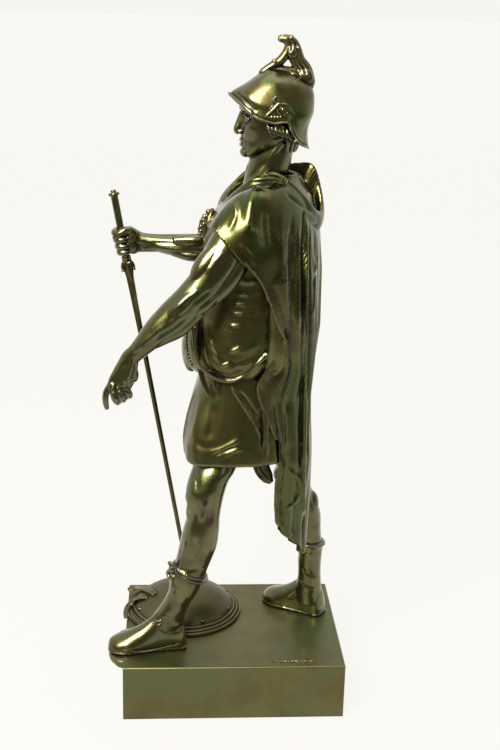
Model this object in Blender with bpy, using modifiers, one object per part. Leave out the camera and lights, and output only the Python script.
"""Bronze statuette of a striding Roman soldier with a sword, on a plinth with a round shield.

Metres, +Z up. The soldier faces -Y and his left side is at +X. The origin is the centre of the
plinth's underside. The figure is free-form: its tables are millimetres of a statuette 543.5 mm
tall from the top of the plinth, and FIGURE_HEIGHT scales them all.
"""

import math

import bpy
import numpy as np
from mathutils import Matrix, Vector

# Driving sizes, in metres
FIGURE_HEIGHT = 0.5435
PLINTH_WIDTH = 0.200
PLINTH_DEPTH = 0.160
PLINTH_HEIGHT = 0.0524
PLINTH_EDGE = 0.0012
CLEARANCE = 0.0003
GRIP_RADIUS = 0.0030
BLADE_WIDTH = 0.0056
BLADE_THICKNESS = 0.0030
SHIELD_RADIUS = 0.0554
SHIELD_RISE = 0.0250
SHIELD_RIM = 0.0040

# How finely the figure is fused, as cells in its height, and the triangles that it keeps
FUSE_CELLS = 362
SOLDIER_TRIANGLES = 6400

SCALE = FIGURE_HEIGHT / 0.5435
FLOOR = PLINTH_HEIGHT + CLEARANCE
SWORD_TOP = (-60.0, -110.8, 404.4)
SWORD_FOOT = (-29.0, -39.3, 33.2)


def clear_scene():
    """Remove everything that the startup file brings."""
    for old in list(bpy.data.objects):
        bpy.data.objects.remove(old, do_unlink=True)


def new_collection(name):
    made = bpy.data.collections.new(name)
    bpy.context.scene.collection.children.link(made)
    return made


def material(name, colour, roughness):
    """A Principled bronze with its own colour and roughness."""
    made = bpy.data.materials.new(name)
    made.use_nodes = True
    shader = made.node_tree.nodes["Principled BSDF"]
    shader.inputs["Base Color"].default_value = (*colour, 1.0)
    shader.inputs["Roughness"].default_value = roughness
    shader.inputs["Metallic"].default_value = 1.0
    return made


def world(points):
    """Figure millimetres above the plinth, as metres in the shared frame."""
    return np.asarray(points, float) * 0.001 * SCALE + np.array([0.0, 0.0, FLOOR])


def through(rows, steps, closed=False):
    """A smooth curve through rows of numbers, with steps samples for each gap."""
    rows = np.asarray(rows, float)
    count = len(rows)
    spans = count if closed else count - 1
    out = []
    for i in range(spans):
        if closed:
            a, b, c, d = (rows[(i + k) % count] for k in (-1, 0, 1, 2))
        else:
            b, c = rows[i], rows[i + 1]
            a = rows[i - 1] if i > 0 else 2 * b - c
            d = rows[i + 2] if i + 2 < count else 2 * c - b
        for k in range(steps):
            t = k / steps
            out.append(
                0.5
                * (
                    2 * b
                    + (c - a) * t
                    + (2 * a - 5 * b + 4 * c - d) * t * t
                    + (3 * b - a - 3 * c + d) * t * t * t
                )
            )
    if not closed:
        out.append(rows[-1])
    return np.array(out)


def mesh_object(name, points, faces):
    mesh = bpy.data.meshes.new(name)
    mesh.from_pydata([tuple(p) for p in points], [], faces)
    mesh.validate()
    made = bpy.data.objects.new(name, mesh)
    bpy.context.scene.collection.objects.link(made)
    return made


def face_out(obj):
    """Turn every face of a closed mesh outwards."""
    bpy.ops.object.select_all(action="DESELECT")
    obj.select_set(True)
    bpy.context.view_layer.objects.active = obj
    bpy.ops.object.mode_set(mode="EDIT")
    bpy.ops.mesh.select_all(action="SELECT")
    bpy.ops.mesh.normals_make_consistent(inside=False)
    bpy.ops.object.mode_set(mode="OBJECT")
    return obj


def skin(name, rings):
    """A closed body through rings of equal count, capped by a fan at each end."""
    rings = np.asarray(rings, float)
    rows, sides = rings.shape[:2]
    points = [p for ring in rings for p in ring]
    faces = []
    for i in range(rows - 1):
        for j in range(sides):
            k = (j + 1) % sides
            faces.append((i * sides + j, i * sides + k, (i + 1) * sides + k, (i + 1) * sides + j))
    for row, flip in ((0, True), (rows - 1, False)):
        hub = len(points)
        points.append(rings[row].mean(axis=0))
        for j in range(sides):
            k = (j + 1) % sides
            pair = (row * sides + k, row * sides + j) if flip else (row * sides + j, row * sides + k)
            faces.append((*pair, hub))
    return face_out(mesh_object(name, world(points), faces))


def sheet(name, grid, thickness):
    """A cloth of this thickness, in millimetres, about a grid of points."""
    grid = np.asarray(grid, float)
    rows, cols = grid.shape[:2]
    faces = []
    for i in range(rows - 1):
        for j in range(cols - 1):
            a = i * cols + j
            faces.append((a, a + 1, a + cols + 1, a + cols))
    made = mesh_object(name, world(grid.reshape(-1, 3)), faces)
    shell = made.modifiers.new("thickness", "SOLIDIFY")
    shell.thickness = thickness * 0.001 * SCALE
    shell.offset = 0.0
    return face_out(apply_all(made))


def oval(centre, across, along, radii, sides, power=2.0):
    """One section, with radii for +across, -across, +along and -along."""
    angle = np.linspace(0, 2 * math.pi, sides, endpoint=False)
    c, s = np.cos(angle), np.sin(angle)
    a = np.where(c > 0, radii[0], radii[1]) * np.sign(c) * np.abs(c) ** (2 / power)
    b = np.where(s > 0, radii[2], radii[3]) * np.sign(s) * np.abs(s) ** (2 / power)
    return np.asarray(centre, float) + a[:, None] * np.asarray(across) + b[:, None] * np.asarray(along)


def stack(name, stations, sides=28, steps=4, power=2.0, waves=None):
    """A body of level sections: z, x centre, front y, back y, near half width, far half width."""
    rings = []
    for z, x, front, back, near, far in through(stations, steps):
        mid = (front + back) / 2
        half = (back - front) / 2
        ring = oval((x, mid, z), (1, 0, 0), (0, 1, 0), (near, far, half, half), sides, power)
        if waves:
            angle = np.linspace(0, 2 * math.pi, sides, endpoint=False)
            swell = waves(angle, z)
            out = ring - np.array([x, mid, z])
            out /= np.linalg.norm(out, axis=1, keepdims=True)
            ring = ring + out * swell[:, None]
        rings.append(ring)
    return skin(name, rings)


def tube(name, stations, sides=14, steps=4, axis=(1, 0, 0)):
    """A limb along a path: x, y, z, radius along the axis, radius across it."""
    rows = through(stations, steps)
    path = rows[:, :3]
    rings = []
    for i, row in enumerate(rows):
        ahead = path[min(i + 1, len(path) - 1)] - path[max(i - 1, 0)]
        ahead /= np.linalg.norm(ahead)
        side = np.asarray(axis, float) - ahead * np.dot(axis, ahead)
        side /= np.linalg.norm(side)
        up = np.cross(ahead, side)
        rings.append(oval(row[:3], side, up, (row[3], row[3], row[4], row[4]), sides))
    return skin(name, rings)


def blob(name, centre, radii, tilt=0.0, turn=0.0):
    """An ellipsoid, tipped about X and then turned about Z, in degrees."""
    bpy.ops.mesh.primitive_uv_sphere_add(segments=20, ring_count=12, radius=1.0)
    made = bpy.context.object
    made.name = name
    size = [r * 0.001 * SCALE for r in radii]
    spin = Matrix.Rotation(math.radians(turn), 4, "Z") @ Matrix.Rotation(math.radians(tilt), 4, "X")
    made.matrix_world = Matrix.Translation(Vector(world(centre))) @ spin @ Matrix.Diagonal((*size, 1.0))
    return made


def apply_all(obj):
    """Keep the shape that the modifiers make and drop the modifiers."""
    bpy.ops.object.select_all(action="DESELECT")
    obj.select_set(True)
    bpy.context.view_layer.objects.active = obj
    for name in [modifier.name for modifier in obj.modifiers]:
        bpy.ops.object.modifier_apply(modifier=name)
    return obj


def join(name, pieces):
    bpy.ops.object.select_all(action="DESELECT")
    for piece in pieces:
        piece.select_set(True)
    bpy.context.view_layer.objects.active = pieces[0]
    bpy.ops.object.join()
    made = bpy.context.object
    made.name = name
    made.data.name = name
    bpy.ops.object.transform_apply(location=True, rotation=True, scale=True)
    return made


def fuse(name, pieces, cells, triangles, passes=2):
    """One cast body from overlapping pieces, softened and brought down to a triangle count."""
    made = join(name, pieces)
    melt = made.modifiers.new("melt", "REMESH")
    melt.mode = "VOXEL"
    melt.voxel_size = FIGURE_HEIGHT / cells
    melt.adaptivity = 0.0
    soften = made.modifiers.new("soften", "SMOOTH")
    soften.factor = 0.5
    soften.iterations = passes
    apply_all(made)
    drop_scraps(made)
    corners = made.modifiers.new("corners", "TRIANGULATE")
    corners.quad_method = "SHORTEST_DIAGONAL"
    apply_all(made)
    fine = made.vertex_groups.new(name="detail")
    for vertex in made.data.vertices:
        head = (vertex.co.z - FLOOR) / SCALE > 0.438
        fine.add([vertex.index], 0.5 if head else 1.0, "REPLACE")
    thin = made.modifiers.new("thin", "DECIMATE")
    thin.ratio = min(1.0, triangles / len(made.data.polygons))
    thin.vertex_group = "detail"
    thin.vertex_group_factor = 8e-6
    apply_all(made)
    made.vertex_groups.clear()
    return made


def drop_scraps(obj):
    """Keep the largest connected shell and remove crumbs."""
    mesh = obj.data
    count = len(mesh.vertices)
    label = np.arange(count)
    edges = np.empty(len(mesh.edges) * 2, np.int32)
    mesh.edges.foreach_get("vertices", edges)
    edges = edges.reshape(-1, 2)
    while True:
        low = np.minimum(label[edges[:, 0]], label[edges[:, 1]])
        fresh = label.copy()
        np.minimum.at(fresh, edges[:, 0], low)
        np.minimum.at(fresh, edges[:, 1], low)
        fresh = fresh[fresh]
        if np.array_equal(fresh, label):
            break
        label = fresh
    names, sizes = np.unique(label, return_counts=True)
    keep = names[sizes.argmax()]
    if len(names) == 1:
        return
    for vertex in mesh.vertices:
        vertex.select = bool(label[vertex.index] != keep)
    bpy.ops.object.mode_set(mode="EDIT")
    bpy.ops.mesh.select_mode(type="VERT")
    bpy.ops.object.mode_set(mode="OBJECT")
    for vertex in mesh.vertices:
        vertex.select = bool(label[vertex.index] != keep)
    bpy.ops.object.mode_set(mode="EDIT")
    bpy.ops.mesh.delete(type="VERT")
    bpy.ops.object.mode_set(mode="OBJECT")


def rod(name, start, end, radius, sides=24):
    """A straight cylinder between two points, in metres."""
    start, end = Vector(start), Vector(end)
    bpy.ops.mesh.primitive_cylinder_add(vertices=sides, radius=radius, depth=(end - start).length)
    made = bpy.context.object
    made.name = name
    made.rotation_mode = "QUATERNION"
    made.rotation_quaternion = Vector((0, 0, 1)).rotation_difference(end - start)
    made.location = (start + end) / 2
    return made


def pleats(count, depth, top, bottom, phase=0.0):
    """Soft upright folds that grow from the top of a cloth to its bottom."""

    def swell(angle, z):
        share = min(1.0, max(0.0, (top - z) / (top - bottom)))
        return depth * share * np.cos(count * angle + phase)

    return swell


def foot(name, heel, heading, length):
    """A booted foot from heel to toe along a heading, in degrees from -Y towards -X."""
    turn = math.radians(heading)
    ahead = np.array([-math.sin(turn), -math.cos(turn), 0.0])
    side = np.array([math.cos(turn), -math.sin(turn), 0.0])
    rows = (
        (0.00, 12.0, 5.5, 0.0),
        (0.05, 26.0, 9.0, 0.0),
        (0.18, 40.0, 10.5, 0.0),
        (0.33, 44.0, 11.0, 0.5),
        (0.45, 34.5, 11.5, 1.0),
        (0.60, 24.5, 12.8, 1.5),
        (0.76, 15.5, 14.5, 1.8),
        (0.90, 10.0, 12.0, 1.5),
        (0.98, 7.0, 7.5, 1.0),
        (1.00, 4.5, 4.0, 1.0),
    )
    rings = []
    for share, top, half, shift in through(rows, 3):
        centre = np.array(heel) + ahead * share * length + side * shift
        low = 3.0 if share < 0.99 else 2.5
        centre = centre + np.array([0, 0, low])
        rings.append(oval(centre, side, (0, 0, 1), (half, half, top - low, low), 20, 2.3))
    return skin(name, rings)


def make_plinth():
    bpy.ops.mesh.primitive_cube_add(size=1.0)
    plinth = bpy.context.object
    plinth.name = "plinth"
    plinth.scale = (PLINTH_DEPTH, PLINTH_WIDTH, PLINTH_HEIGHT)
    plinth.location = (0, 0, PLINTH_HEIGHT / 2)
    bpy.ops.object.transform_apply(location=True, rotation=True, scale=True)
    lip = make_toe_lip()
    weld = plinth.modifiers.new("toe_lip", "BOOLEAN")
    weld.operation = "UNION"
    weld.object = lip
    weld.solver = "EXACT"
    apply_all(plinth)
    bpy.data.objects.remove(lip, do_unlink=True)
    soften = plinth.modifiers.new("edges", "BEVEL")
    soften.width = PLINTH_EDGE
    soften.segments = 2
    soften.limit_method = "ANGLE"
    soften.angle_limit = math.radians(40)
    return apply_all(plinth)


def make_toe_lip():
    """The thin tongue of ground that carries the left toes past the edge of the plinth."""
    height = 0.0060
    bpy.ops.mesh.primitive_cylinder_add(vertices=32, radius=1.0, depth=1.0)
    lip = bpy.context.object
    lip.name = "toe_lip"
    lip.scale = (0.026 * SCALE, 0.0145 * SCALE, height)
    lip.location = (0.046 * SCALE, -PLINTH_WIDTH / 2, PLINTH_HEIGHT - height / 2)
    bpy.ops.object.transform_apply(location=True, rotation=True, scale=True)
    return lip


def shield_place():
    """The shield's centre on the plinth, clear of the left boot, in metres."""
    return 0.0264 * SCALE - SHIELD_RADIUS, -0.045 * SCALE


def shield_height(x, y):
    """The height of the shield's face above the plinth at a point, in metres."""
    cx, cy = shield_place()
    share = min(1.0, math.hypot(x - cx, y - cy) / SHIELD_RADIUS)
    return SHIELD_RIM + (SHIELD_RISE - SHIELD_RIM) * (1 - (share / 0.93) ** 2 if share < 0.93 else 0.0)


def make_shield():
    """A domed round shield lying face up, with a stepped rim, rivets and its arm strap."""
    rise = SHIELD_RISE - SHIELD_RIM
    profile = [(0.0, 0.0), (1.0, 0.0), (1.0, 0.5), (0.985, 0.9), (0.965, 1.0), (0.95, 0.8), (0.93, 1.0)]
    line = [(r * SHIELD_RADIUS, h * SHIELD_RIM) for r, h in profile]
    for k in range(1, 7):
        share = 0.93 * (1 - k / 6)
        line.append((share * SHIELD_RADIUS, SHIELD_RIM + rise * (1 - (share / 0.93) ** 2)))
    mesh = bpy.data.meshes.new("shield")
    mesh.from_pydata([(r, 0.0, z) for r, z in line], [(i, i + 1) for i in range(len(line) - 1)], [])
    shield = bpy.data.objects.new("shield", mesh)
    bpy.context.scene.collection.objects.link(shield)
    turn = shield.modifiers.new("turn", "SCREW")
    turn.steps = 44
    turn.render_steps = 44
    turn.use_merge_vertices = True
    turn.merge_threshold = 0.00005
    apply_all(shield)
    cx, cy = shield_place()
    shield.location = (cx, cy, PLINTH_HEIGHT + CLEARANCE)
    bpy.ops.object.transform_apply(location=True, rotation=True, scale=True)
    face_out(shield)
    parts = [make_strap()]
    for turn_at in (18, 62, 106, 150, 194, 238, 282, 326):
        angle = math.radians(turn_at)
        x = cx + 0.86 * SHIELD_RADIUS * math.cos(angle)
        y = cy + 0.86 * SHIELD_RADIUS * math.sin(angle)
        bpy.ops.mesh.primitive_ico_sphere_add(subdivisions=1, radius=0.0019 * SCALE)
        stud = bpy.context.object
        stud.location = (x, y, PLINTH_HEIGHT + CLEARANCE + shield_height(x, y) + 0.0002)
        parts.append(stud)
    for part in parts:
        weld = shield.modifiers.new("weld", "BOOLEAN")
        weld.operation = "UNION"
        weld.object = part
        weld.solver = "EXACT"
    apply_all(shield)
    for part in parts:
        bpy.data.objects.remove(part, do_unlink=True)
    return shield


def make_strap():
    """The leather arm strap, thrown over the shield's front edge in two waves."""
    cx, cy = shield_place()
    rows = ((0.30, 26, 4.5), (0.50, 15, 3.0), (0.68, 22, 6.0), (0.84, 14, 8.5), (0.97, 20, 5.5), (1.03, 32, 4.0))
    grid = []
    for share, turn, lift in through(rows, 4):
        row = []
        for step in range(5):
            angle = math.radians(180 + 62 - turn + (step - 2) * 7.5)
            reach = share * SHIELD_RADIUS
            x, y = cx + reach * math.cos(angle), cy + reach * math.sin(angle)
            base = shield_height(x, y) if share < 0.93 else SHIELD_RIM
            curl = 0.8 * math.cos(1.6 * (step - 2) + 6 * share)
            row.append((x, y, base + (lift * 0.45 + curl - 0.6) * 0.001 * SCALE))
        grid.append(row)
    grid = (np.array(grid)) / (0.001 * SCALE)
    return sheet("strap", grid, 2.6)


def make_sword():
    """A long straight sword held point down: pommel, grip, ferrule, guard and ridged blade."""
    top = Vector(world(SWORD_TOP))
    tip_x, tip_y = SWORD_FOOT[0] * 0.001 * SCALE, SWORD_FOOT[1] * 0.001 * SCALE
    tip = Vector((tip_x, tip_y, PLINTH_HEIGHT + 2 * CLEARANCE + shield_height(tip_x, tip_y) + 0.0003))
    ahead = (tip - top).normalized()
    side = (Vector((0, -1, 0)) - ahead * Vector((0, -1, 0)).dot(ahead)).normalized()
    flat = ahead.cross(side)
    length = (tip - top).length
    unit = 0.001 * SCALE

    def ring(at, wide, thick, count=12, power=2.0):
        centre = top + ahead * at
        return oval(centre, side, flat, (wide, wide, thick, thick), count, power)

    def body(name, rings):
        return skin(name, (np.asarray(rings) - np.array([0, 0, FLOOR])) / unit)

    grip = GRIP_RADIUS
    rows = [
        (0.0, 1.6 * unit),
        (1.2 * unit, 2.6 * unit),
        (3.0 * unit, 2.4 * unit),
        (4.2 * unit, 1.8 * unit),
        (5.0 * unit, grip + 2.0 * unit),
        (6.6 * unit, grip + 2.4 * unit),
        (8.4 * unit, grip + 1.6 * unit),
        (10.2 * unit, grip * 0.95),
        (30.0 * unit, grip),
        (58.0 * unit, grip),
        (59.5 * unit, grip + 0.9 * unit),
        (62.5 * unit, grip + 0.9 * unit),
        (64.0 * unit, grip + 0.2 * unit),
        (70.0 * unit, grip * 0.8),
    ]
    rings = [ring(at, r, r, 16) for at, r in rows]
    start = 72.0 * unit
    for share in (0.0, 0.15, 0.3, 0.45, 0.6, 0.75, 0.88, 0.96, 1.0):
        taper = 1 - 0.42 * share if share < 0.97 else 0.16
        at = start + (length - start) * share
        rings.append(ring(at, BLADE_WIDTH / 2 * taper, BLADE_THICKNESS / 2 * taper, 16, 1.15))
    hilt = body("hilt", rings)
    pieces = []
    cross = top + ahead * 66.5 * unit
    guard_rows = ((-6.2, 1.2, 4.0), (-6.0, 1.9, 2.0), (-4.4, 1.6, 0.4), (0.0, 2.6, -0.4))
    guard_rows += tuple((-reach, r, drop) for reach, r, drop in reversed(guard_rows[:-1]))
    guard = []
    for reach, r, drop in guard_rows:
        centre = cross + (side * reach + ahead * drop) * unit
        guard.append(oval(centre, ahead, flat, (r * unit, r * unit, r * unit * 1.2, r * unit * 1.2), 10))
    pieces.append(body("guard", guard))
    for piece in pieces:
        weld = hilt.modifiers.new("weld", "BOOLEAN")
        weld.operation = "UNION"
        weld.object = piece
        weld.solver = "EXACT"
    apply_all(hilt)
    for piece in pieces:
        bpy.data.objects.remove(piece, do_unlink=True)
    hilt.name = "sword"
    return hilt


def make_clothes():
    """Tunic skirt, bloused waist, shoulder cape, hood, brooch and hanging ends."""
    skirt_rows = (
        (272, 0, -28, 38, 33, 33),
        (256, 0, -32, 42, 37, 37),
        (240, 0, -36, 48, 39, 39),
        (217, 0, -42, 55, 41, 41),
        (195, 0, -45, 60, 42, 42),
        (180, 0, -45, 63, 42, 42),
        (176, 0, -43, 62, 41, 41),
        (176, 0, -38, 57, 36, 36),
        (186, 0, -36, 54, 34, 34),
    )
    blouse_rows = (
        (404, 0, -17, 52, 44, 44),
        (386, 0, -28, 53, 47, 47),
        (365, 0, -31, 50, 45, 45),
        (340, 0, -32, 46, 41, 41),
        (315, 0, -37, 42, 41, 41),
        (298, 0, -43, 41, 43, 43),
        (282, 0, -46, 40, 45.5, 45),
        (270, 0, -46, 38, 45.5, 45),
        (261, 0, -43, 35, 43, 42),
        (257, 0, -37, 32, 39, 38),
        (262, 0, -30, 28, 34, 33),
    )
    pieces = [
        stack("skirt", skirt_rows, 40, 3, 2.2, pleats(9, 1.6, 250, 176, 0.6)),
        stack("blouse", blouse_rows, 36, 3, 2.1, pleats(5, 1.5, 380, 262, 1.2)),
        make_cape(),
        make_cloak(),
        tube("hood_outer", HOOD_OUTER, 14, 4, (0, 0, 1)),
        tube("hood_inner", HOOD_INNER, 14, 4, (0, 0, 1)),
        blob("hood_bag", (0, 64, 410), (26, 9, 15), 18),
        blob("brooch", (0, -26, 387), (7.5, 4.5, 13), -20),
        tube("sash_end", ((22, 30, 196, 3, 6), (28, 24, 178, 3, 7), (30, 27, 166, 3, 6.5), (30, 32, 158, 2.6, 3)), 12, 4),
        tube("strap_end_a", ((43, -30, 270, 2.2, 3.4), (45, -29, 256, 2.2, 3.2), (44, -25.5, 243, 2, 2.4)), 8, 3),
        tube("strap_end_b", ((45, -21, 266, 2.2, 3.4), (46, -20, 256, 2.2, 3.2), (45, -19, 247, 2, 2.4)), 8, 3),
    ]
    return pieces


def mirrored(rows):
    """A path given from the middle to the near side, continued round the far side."""
    rows = [tuple(row) for row in rows]
    far = [(-row[0], *row[1:]) for row in reversed(rows[1:-1])]
    return rows + far


def hood_path(rows):
    """A hood roll from the brooch round the near shoulder, the back and home again."""
    near = [tuple(row) for row in rows]
    far = [(-row[0] - 0.5, *row[1:]) for row in reversed(near[:-1])]
    return tuple(near + far)


HOOD_OUTER = hood_path(
    (
        (1, -17, 393.5, 5, 4),
        (13, -12, 400, 6, 4.5),
        (27, -1, 410.5, 7, 5),
        (38, 12, 421, 8, 6.5),
        (38, 28, 420, 10, 8),
        (28, 47, 409, 12, 9),
        (14, 59, 402, 13, 8),
        (0, 63, 400, 13, 8),
    )
)
HOOD_INNER = hood_path(
    (
        (1, -4, 406, 5, 4),
        (12, 1, 411, 5.5, 4),
        (22, 9, 418.5, 6.5, 4),
        (27, 18, 426, 8, 5),
        (26, 33, 427, 9, 5.5),
        (20, 46, 426, 10, 5.5),
        (10, 55, 425, 10.5, 5.5),
        (0, 58, 425, 10.5, 5.5),
    )
)


def make_cape():
    """The cloth over both shoulders, from the neck out to its lower edge."""
    neck = ((0, 2, 414), (12, 4, 417), (19, 10, 421), (22, 18, 425), (21, 30, 428), (14, 42, 428), (0, 50, 427))
    brow = ((0, -15, 402), (24, -10, 407), (44, -3, 415), (54, 10, 419), (50, 28, 416), (34, 50, 408), (0, 62, 404))
    edge = ((0, -26, 388), (34, -27, 387), (58, -25, 388), (71, -6, 372), (69, 18, 342), (48, 48, 326), (0, 60, 320))
    inner = [(x * 0.5, 10 + (y - 10) * 0.5, z + 4) for x, y, z in edge]
    core = [(x * 0.4, 14 + (y - 14) * 0.4, z - 12) for x, y, z in neck]
    guides = [mirrored(core), mirrored(neck), mirrored(brow), mirrored(edge), mirrored(inner)]
    rings = [through(guide, 4, closed=True) for guide in guides]
    between = through(np.array(rings[1:4]).reshape(3, -1), 5).reshape(-1, len(rings[0]), 3)
    lift = np.linspace(0, math.pi, len(between))
    middle = np.array([0.0, 12.0, 0.0])
    for ring, bend in zip(between, lift):
        out = ring - middle
        out[:, 2] = 0
        out /= np.maximum(np.linalg.norm(out, axis=1, keepdims=True), 1e-6)
        ring += out * 1.5 * math.sin(bend)
    return skin("cape", [rings[0], *between, rings[4]])


def make_cloak():
    """The long cloak that hangs from the shoulders down the back to a slanting hem."""
    levels = (
        (408, (40, 6), (46, 26), (34, 44), (0, 58), (-34, 44), (-46, 26), (-40, 8)),
        (385, (56, 4), (58, 28), (42, 52), (0, 68), (-42, 52), (-56, 30), (-56, 8)),
        (350, (68, 14), (64, 36), (44, 58), (0, 69), (-42, 57), (-58, 36), (-62, 12)),
        (334, (66, 20), (62, 40), (43, 59), (0, 69), (-41, 58), (-57, 39), (-60, 16)),
        (316, (60, 27), (57, 46), (41, 61), (0, 69), (-41, 59), (-56, 42), (-58, 20)),
        (300, (52, 35), (52, 50), (39, 62), (0, 69), (-40, 60), (-55, 43), (-57, 24)),
        (270, (43, 39), (44, 50), (35, 61), (0, 66), (-38, 60), (-52, 44), (-54, 26)),
        (240, (39, 30), (41, 44), (33, 59), (0, 63), (-36, 59), (-50, 44), (-52, 28)),
        (210, (38, 35), (40, 47), (33, 60), (0, 64), (-36, 60), (-49, 46), (-50, 30)),
        (182, (38, 37), (40, 49), (33, 62), (0, 66), (-36, 62), (-48, 48), (-48, 32)),
        (160, (36, 34), (38, 48), (32, 61), (2, 67), (-34, 63), (-47, 50), (-47, 34)),
        (140, (35, 34), (36, 47), (30, 59), (6, 67), (-30, 66), (-46, 52), (-46, 36)),
        (118, (33, 36), (33, 47), (27, 57), (9, 66), (-20, 70), (-45, 54), (-45, 38)),
        (80, (31, 42), (30, 50), (23, 58), (12, 65), (-14, 70), (-43, 54), (-43, 40)),
    )
    hems = (120, 103, 93, 84, 146, 158, 168)
    heights = np.array([row[0] for row in levels], float)
    table = np.array([row[1:] for row in levels], float)
    columns = []
    for c, hem in enumerate(hems):
        drop = np.linspace(heights[0], hem, 34)
        x = np.interp(-drop, -heights, table[:, c, 0])
        y = np.interp(-drop, -heights, table[:, c, 1])
        columns.append(np.stack([x, y, drop], axis=1))
    grid = through(np.array(columns).reshape(len(hems), -1), 7).reshape(-1, 34, 3)
    share = np.linspace(0, 1, len(grid))
    down = np.linspace(0, 1, 34)
    middle = np.array([0.0, 10.0, 0.0])
    fold = 2.6 * np.cos(2 * math.pi * share * 9.0)[:, None] * np.clip(down * 3, 0.0, 1.0)[None, :]
    out = grid - middle
    out[..., 2] = 0
    out /= np.maximum(np.linalg.norm(out, axis=2, keepdims=True), 1e-6)
    return sheet("cloak", grid + out * fold[..., None], 4.6)


def make_limbs():
    """Arms, hands, legs and boots."""
    left_arm = (
        (42, 16, 411, 15, 18),
        (49, 5, 395, 16, 18),
        (54, -10, 377, 15.5, 18),
        (58, -22, 359, 15, 17),
        (60.5, -31, 346, 14.5, 15.5),
        (62, -43, 332.5, 13.5, 13.8),
        (63, -55.5, 319, 13, 14.5),
        (64, -68, 308.5, 11, 12),
        (65, -78, 299, 8.5, 9.2),
        (65.5, -87.5, 291.5, 5.8, 7.2),
        (66, -94, 283, 5, 9),
        (66, -99, 273, 5, 10.8),
        (65.5, -102.5, 263, 4.2, 11),
    )
    right_arm = (
        (-42, 18, 408, 15, 17),
        (-49, 9, 393, 15.5, 17),
        (-54, -2, 373, 15.5, 16.5),
        (-57, -14, 359, 15, 15.5),
        (-57.5, -28, 354, 13.5, 13.2),
        (-57.5, -45, 354.5, 11.5, 11),
        (-57.5, -60, 355.5, 9.8, 9.8),
        (-57.5, -75, 357.5, 7.8, 8),
        (-57.5, -86, 359.5, 6.2, 7.2),
        (-58, -93, 361, 5.5, 9.5),
        (-59, -98, 362, 4.5, 10.5),
    )
    left_leg = (
        (238, 18, -26, 24, 17, 19),
        (205, 23, -36, 10, 17, 19),
        (172, 30, -40, 0, 17.5, 18),
        (160, 31.5, -43, -6, 16.5, 17),
        (150, 33, -45, -9.5, 16, 16.5),
        (138, 34, -44, -12, 15, 15.5),
        (128, 35, -44, -13.5, 15, 15),
        (114, 36, -48, -14.5, 15.5, 15.5),
        (100, 37, -51, -16, 15, 15.5),
        (84, 38, -54, -22, 13, 14),
        (76, 38.5, -60, -26, 14.5, 14.5),
        (62, 39, -60, -30, 13.5, 13.5),
        (45, 39.5, -61, -38, 11, 11),
        (30, 40, -66, -42, 10.5, 10.5),
        (14, 40, -68, -42, 10, 10),
    )
    right_leg = (
        (238, -20, -8, 40, 21, 21),
        (205, -24, 12, 52, 19, 19),
        (172, -26, 32, 63, 16.5, 17),
        (150, -26, 41, 67, 15.5, 16),
        (135, -25, 49, 73, 14.5, 15),
        (120, -24.5, 55, 79, 14, 14.5),
        (105, -24, 59, 85, 13.5, 14),
        (88, -23.5, 62, 86, 12, 12.5),
        (76, -23, 64, 87.5, 11.5, 12),
        (72, -22.5, 65, 89, 12.5, 12.5),
        (55, -22, 64.5, 87, 11, 11),
        (42, -21.5, 65, 87, 10.3, 10.3),
        (28, -21, 64, 88, 10.5, 10.5),
        (14, -20, 66, 88, 9.5, 9.5),
    )
    pieces = [
        tube("left_arm", left_arm, 20),
        tube("right_arm", right_arm, 20),
        stack("left_leg", left_leg, 24),
        stack("right_leg", right_leg, 24),
        foot("left_foot", (39.5, -40.5, 0), -3, 74),
        foot("right_foot", (-15.5, 89.5, 0), 37, 69),
        tube("cuff", ((38, -60, 76, 3, 2.6), (48, -56, 74, 3, 2.6), (52, -43, 70, 3, 2.6), (46, -30, 67, 3, 2.6), (38, -27, 67, 3, 2.6)), 8, 4, (0, 0, 1)),
        blob("knot", (38, -61, 77), (5, 4.5, 6)),
    ]
    fingers = (
        ((66, -109, 268, 3.4), (66.3, -112.5, 260, 3.2), (65.8, -113.2, 250, 2.9), (65, -112.6, 240.5, 2.5)),
        ((66.5, -104, 265, 3.4), (66.9, -106, 255, 3.2), (62.5, -106, 249, 3.0), (58.5, -104, 253, 2.6)),
        ((66.3, -98, 264, 3.3), (66.3, -100, 254, 3.1), (62, -100, 249, 2.9), (58.5, -99, 252, 2.5)),
        ((65.5, -92.5, 265, 3.0), (65, -94, 256, 2.8), (61.5, -94, 251.5, 2.6), (58.5, -93, 254, 2.3)),
        ((63.5, -97, 280, 3.6), (59.5, -106, 272, 3.4), (58, -109.5, 263, 3.0), (58.5, -110, 255, 2.5)),
    )
    for k, path in enumerate(fingers):
        rows = [(x, y, z, r, r) for x, y, z, r in path]
        pieces.append(tube(f"left_finger_{k}", rows, 10, 4, (1, 0.2, 0.1)))
    pieces += make_fist()
    return pieces


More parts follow.
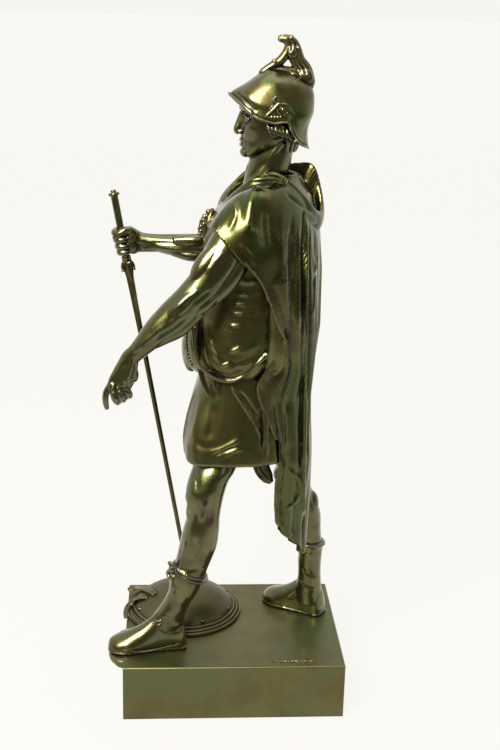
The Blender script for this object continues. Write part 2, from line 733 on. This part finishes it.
def make_fist():
    """Four fingers and a thumb closed round the sword's grip."""
    top, foot_at = np.array(SWORD_TOP), np.array(SWORD_FOOT)
    along = (foot_at - top) / np.linalg.norm(foot_at - top)
    pieces = [blob("palm", (-59.5, -98.5, 361), (5.0, 8.0, 12.5), 12)]
    for k, height in enumerate((369.0, 363.0, 357.2, 351.8)):
        axis = top + along * (404.4 - height) / abs(along[2])
        rows = []
        for turn in (150, 190, 235, 280, 325, 370, 395):
            angle = math.radians(turn)
            reach = 6.4 - 0.25 * k
            point = axis + np.array([math.cos(angle) * reach, math.sin(angle) * reach, 0.0])
            r = (3.4, 3.5, 3.5, 3.4, 3.2, 3.0, 2.6)[(turn > 150) + (turn > 190) + (turn > 235) + (turn > 280) + (turn > 325) + (turn > 370)]
            rows.append((*point, r - 0.15 * k, r - 0.15 * k))
        pieces.append(tube(f"right_finger_{k}", rows, 10, 3, (0, 0, 1)))
    thumb = ((-58, -93, 367, 4, 4), (-52.5, -97, 372, 3.8, 3.8), (-50, -103, 373.5, 3.5, 3.5), (-51.5, -109, 372, 2.8, 2.8))
    pieces.append(tube("right_thumb", thumb, 10, 4, (0, 0, 1)))
    return pieces


def make_head():
    """Neck, a plain classical head, helmet and the crouching beast of the crest."""
    skull = (
        (508, 0, 14, 44, 12, 12),
        (500, 0, 2, 53, 19, 19),
        (487, 0, -1, 57, 21.5, 21.5),
        (477, 0, -0.5, 57, 21.5, 21.5),
        (467, 0, -1.5, 54, 20.5, 20.5),
        (458, 0, -2, 48, 18, 18),
        (450, 0, -1.5, 42, 15, 15),
        (445, 0, 1, 36, 11, 11),
        (442.5, 0, 6, 30, 6, 6),
    )
    pieces = [
        stack("head", skull, 28, 4, 2.1),
        tube("neck", ((0, 22, 408, 17, 17), (0, 25, 430, 15, 15.5), (0, 28, 455, 15.5, 17)), 20),
        tube("nose", ((0, 2, 482, 3, 3), (0, -1.5, 473, 3.2, 3.5), (0, -4, 465.5, 4.6, 3.6), (0, 0, 461, 3, 2)), 10, 4),
        tube("mouth", ((-8, 1.5, 456, 2, 2.2), (0, -1.8, 456.3, 3, 2.6), (8, 1.5, 456, 2, 2.2)), 10, 4, (0, 0, 1)),
        blob("chin", (0, 2.5, 448), (7.5, 5, 5)),
        blob("hair_near", (21, 30, 465), (4.5, 9, 9)),
        blob("hair_far", (-21, 30, 465), (4.5, 9, 9)),
        make_helmet(),
    ]
    for sign in (1, -1):
        pieces.append(blob("brow", (sign * 9, 3, 482.5), (10, 4.5, 3.5)))
        pieces.append(blob("cheek", (sign * 10, 7, 467), (7, 5.5, 7)))
    back = (
        (0, 58.5, 499, 5.5, 3.5),
        (0, 56.5, 507, 7, 5.8),
        (0, 51.5, 516, 6.5, 6.8),
        (0, 46.5, 523, 5.5, 6),
        (0, 43, 530, 5, 7),
        (0, 40.5, 536.5, 5, 7),
        (0, 36, 540, 4.5, 4.6),
        (0, 31, 540.5, 3.2, 2.8),
    )
    fore = (
        (0, 37, 536, 3.5, 3),
        (0, 35.5, 529, 3.6, 3),
        (0, 31, 523, 3.8, 3),
        (0, 23, 518.5, 4.0, 3),
        (0, 13, 511.5, 3.8, 2.6),
        (0, 3, 503.5, 3.4, 2.4),
        (0, -7, 497.5, 2.6, 2.0),
    )
    pieces += [
        tube("beast", back, 14),
        tube("beast_forelegs", fore, 12),
        tube("crest_ridge", ((0, 8, 504, 4, 3), (0, 24, 514, 5, 4), (0, 40, 512.5, 5.5, 5), (0, 54, 504, 5.5, 5)), 12),
        blob("beast_ears", (0, 41.5, 541), (4.6, 2.2, 3.0), -20),
    ]
    return pieces


HELMET_EDGE = (
    (0, -10.3, 494.7),
    (13, -5, 490.2),
    (23, 2.5, 484.5),
    (27.5, 13.0, 477.0),
    (28.5, 25.5, 473.5),
    (28.0, 37.0, 474.0),
    (26.5, 42.0, 464.0),
    (21.0, 48.0, 456.5),
    (11.0, 55.5, 452.5),
    (0, 57.5, 451.0),
)
HELMET_SIDE = (
    (0, -6.0, 498.6),
    (12.5, -1.5, 497.5),
    (21.5, 5.0, 496.0),
    (26.0, 13.5, 492.0),
    (27.2, 26.0, 490.0),
    (26.2, 38.0, 489.0),
    (24.0, 46.5, 484.0),
    (18.0, 54.5, 481.0),
    (9.5, 59.2, 482.0),
    (0, 60.4, 482.0),
)
HELMET_UPPER = (
    (0, 5.0, 505.0),
    (8, 7.0, 505.5),
    (14.5, 11.0, 506.0),
    (18.5, 17.0, 506.5),
    (20.0, 27.0, 506.5),
    (18.5, 36.0, 505.5),
    (16.0, 43.0, 504.0),
    (12.0, 49.0, 502.5),
    (6.5, 53.0, 501.5),
    (0, 54.5, 501.0),
)


def make_helmet():
    """The bowl with its pointed brow and the neck guard that flares at the back."""
    edge = through(mirrored(HELMET_EDGE), 3, closed=True)
    side = through(mirrored(HELMET_SIDE), 3, closed=True)
    upper = through(mirrored(HELMET_UPPER), 3, closed=True)
    top = np.array([0.0, 27.0, 516.0])
    crown = top + (upper - top) * np.array([0.45, 0.45, 0.22])
    cap = top + (upper - top) * np.array([0.12, 0.12, 0.02])
    inner = edge * np.array([0.88, 0.88, 1.0]) + np.array([0.0, 3.0, 2.5])
    deep = inner * np.array([0.6, 0.6, 1.0]) + np.array([0.0, 10.0, 12.0])
    nape = edge * 0.5 + side * 0.5 - np.array([0.0, 2.6, 0.0]) * np.clip((edge[:, 1:2] - 38) / 14, 0, 1)
    outer = through(np.array([edge, nape, side, upper, crown, cap]).reshape(6, -1), 4).reshape(-1, len(edge), 3)
    return skin("helmet", [deep, inner, *outer])


def make_soldier():
    pieces = make_clothes() + make_limbs() + make_head()
    soldier = fuse("soldier", pieces, FUSE_CELLS, SOLDIER_TRIANGLES)
    low = (soldier.matrix_world @ Vector(soldier.bound_box[0])).z
    for vertex in soldier.data.vertices:
        vertex.co.z += FLOOR - low if vertex.co.z < FLOOR + 0.004 else 0.0
    return soldier


def main():
    clear_scene()
    statue = new_collection("roman_soldier_statue")
    cutters = new_collection("cutters")
    cutters.hide_render = True
    colours = {
        "plinth": ((0.070, 0.060, 0.028), 0.38),
        "soldier": ((0.060, 0.050, 0.020), 0.26),
        "sword": ((0.060, 0.052, 0.024), 0.30),
        "shield": ((0.075, 0.063, 0.030), 0.36),
    }
    made = [make_plinth(), make_soldier(), make_sword(), make_shield()]
    soldier = made[1]
    top, foot_at = np.array(world(SWORD_TOP)), np.array(world(SWORD_FOOT))
    along = (foot_at - top) / np.linalg.norm(foot_at - top)
    hole = rod(
        "grip_hole",
        top + along * 0.020 * SCALE,
        top + along * 0.058 * SCALE,
        GRIP_RADIUS + CLEARANCE,
    )
    bore = soldier.modifiers.new("grip_bore", "BOOLEAN")
    bore.operation = "DIFFERENCE"
    bore.object = hole
    bore.solver = "EXACT"
    hole.hide_render = True
    hole.display_type = "WIRE"
    for obj in [*made, hole]:
        for owner in list(obj.users_collection):
            owner.objects.unlink(obj)
        (cutters if obj is hole else statue).objects.link(obj)
    for obj in made:
        colour, roughness = colours[obj.name]
        obj.data.materials.clear()
        obj.data.materials.append(material(obj.name + "_bronze", colour, roughness))


main()
